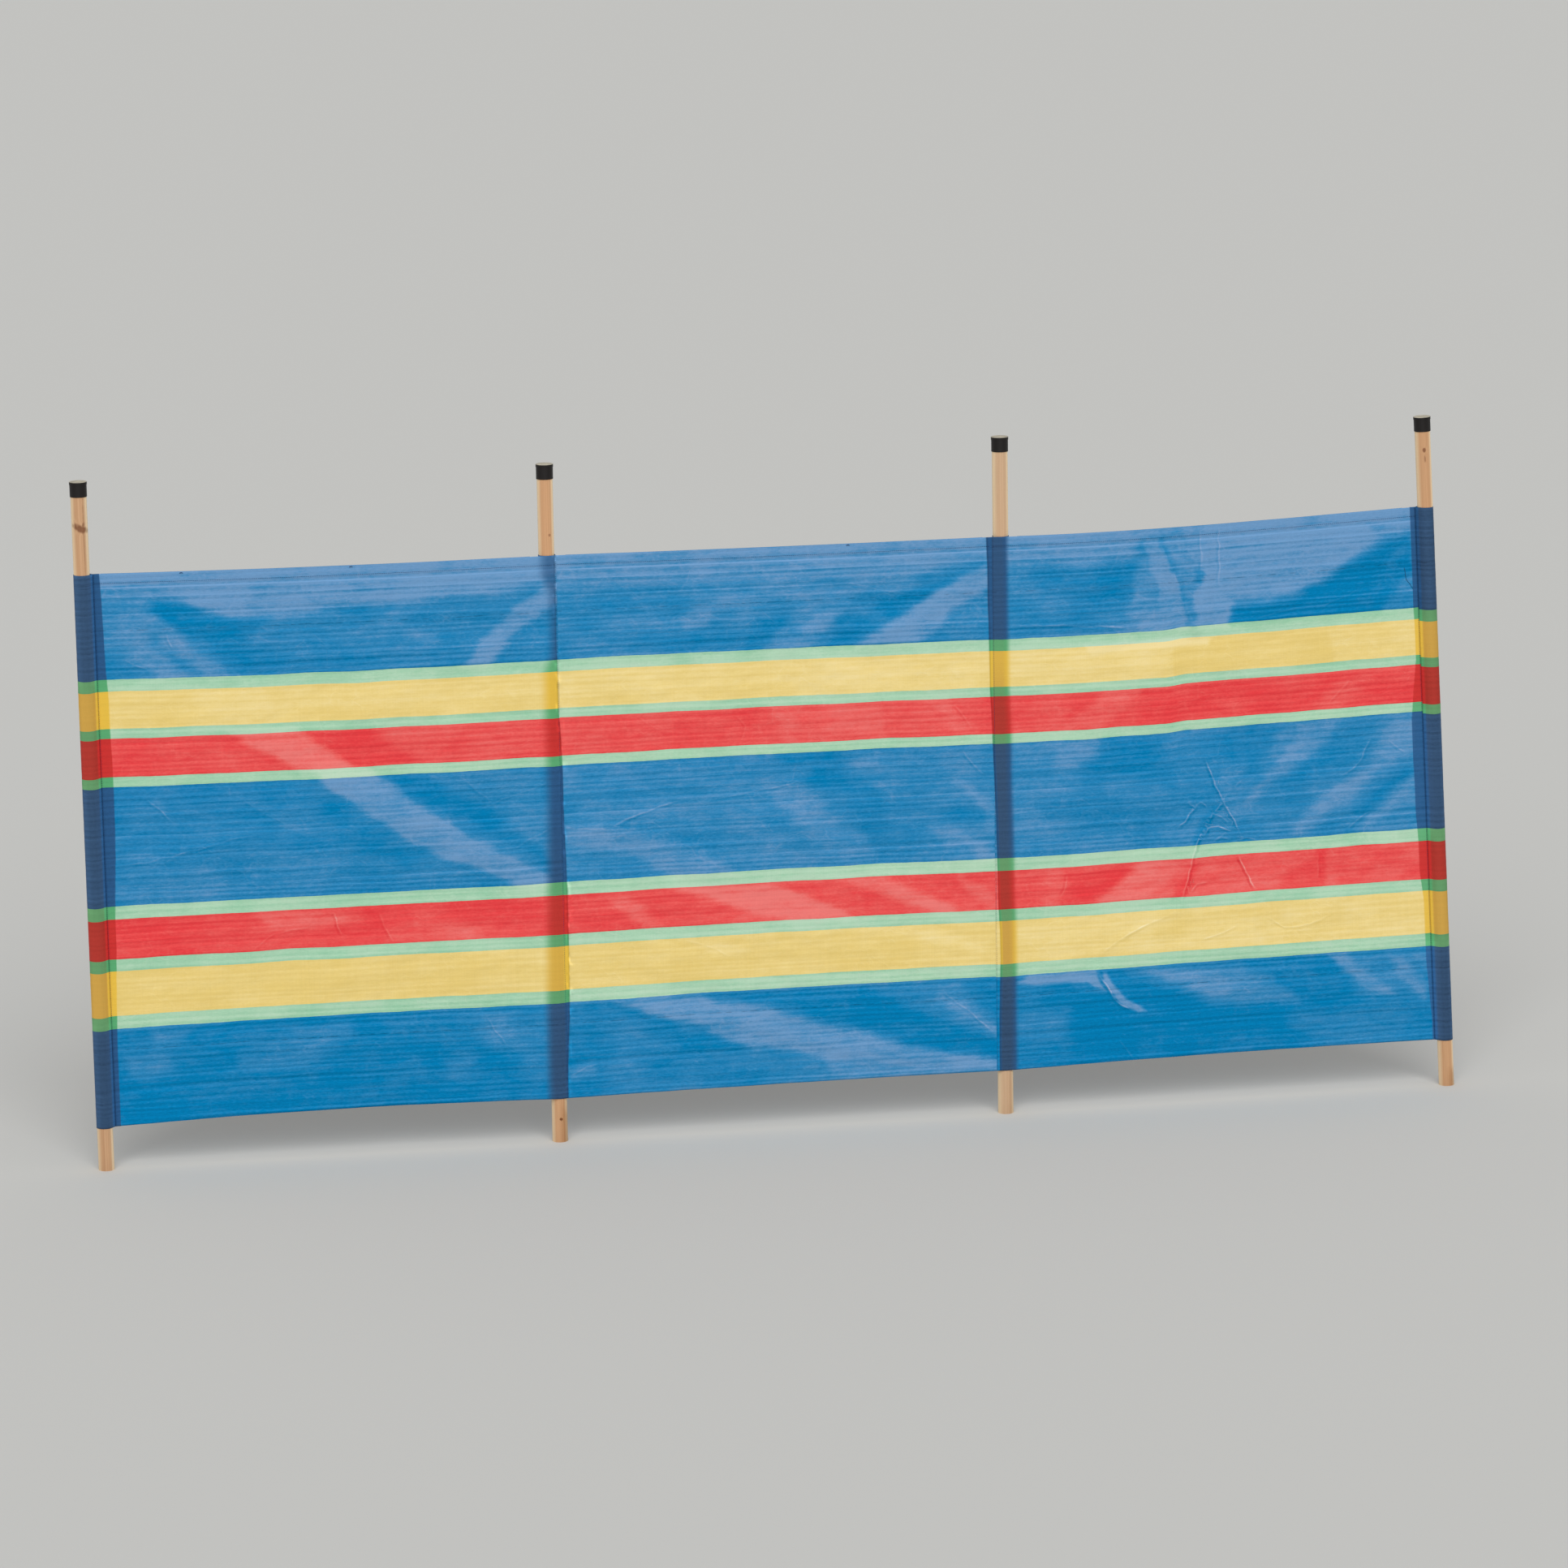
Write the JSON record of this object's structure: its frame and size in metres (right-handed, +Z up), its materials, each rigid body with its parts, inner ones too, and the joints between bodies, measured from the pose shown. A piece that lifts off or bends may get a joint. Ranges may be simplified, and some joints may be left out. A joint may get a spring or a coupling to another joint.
{
  "type": "beach windbreak",
  "caption": "Striped beach windbreak: bays of woven cloth stretched upright between capped round wooden poles, folding at the sewn pole pockets.",
  "frame": {"origin": "middle of the first pole's foot, level with the ground", "axes": "+X along the windbreak to the last pole, +Y away from the front, +Z up"},
  "size_m": [2.2312, 0.0286, 1.1115],
  "materials": {
    "pine_pole": "smooth turned pine with a clear finish",
    "pole_cap": "satin moulded plastic",
    "woven_cloth": "half-gloss woven plastic cloth with traditional stripes"
  },
  "bodies": {
    "left_wing": {"pole_1": "pine_pole", "pole_cap_1": "pole_cap", "end_pocket_left": "woven_cloth", "cloth_bay_1": "woven_cloth", "top_hem_1": "woven_cloth", "inner_pocket_left": "woven_cloth", "pole_2": "pine_pole", "pole_cap_2": "pole_cap"},
    "middle_bay": {"cloth_bay_2": "woven_cloth", "top_hem_2": "woven_cloth"},
    "right_wing": {"inner_pocket_right": "woven_cloth", "pole_3": "pine_pole", "pole_cap_3": "pole_cap", "cloth_bay_3": "woven_cloth", "top_hem_3": "woven_cloth", "end_pocket_right": "woven_cloth", "pole_4": "pine_pole", "pole_cap_4": "pole_cap"}
  },
  "joints": [
    {"name": "left_seam_fold", "type": "hinge", "parent": "left_wing", "child": "middle_bay", "pos_m": [0.7406, -0.0113, 0.5], "axis": [0, 0, -1], "range_deg": [-75, 110]},
    {"name": "right_seam_fold", "type": "hinge", "parent": "middle_bay", "child": "right_wing", "pos_m": [1.4424, -0.0113, 0.5], "axis": [0, 0, -1], "range_deg": [-75, 110]}
  ]
}
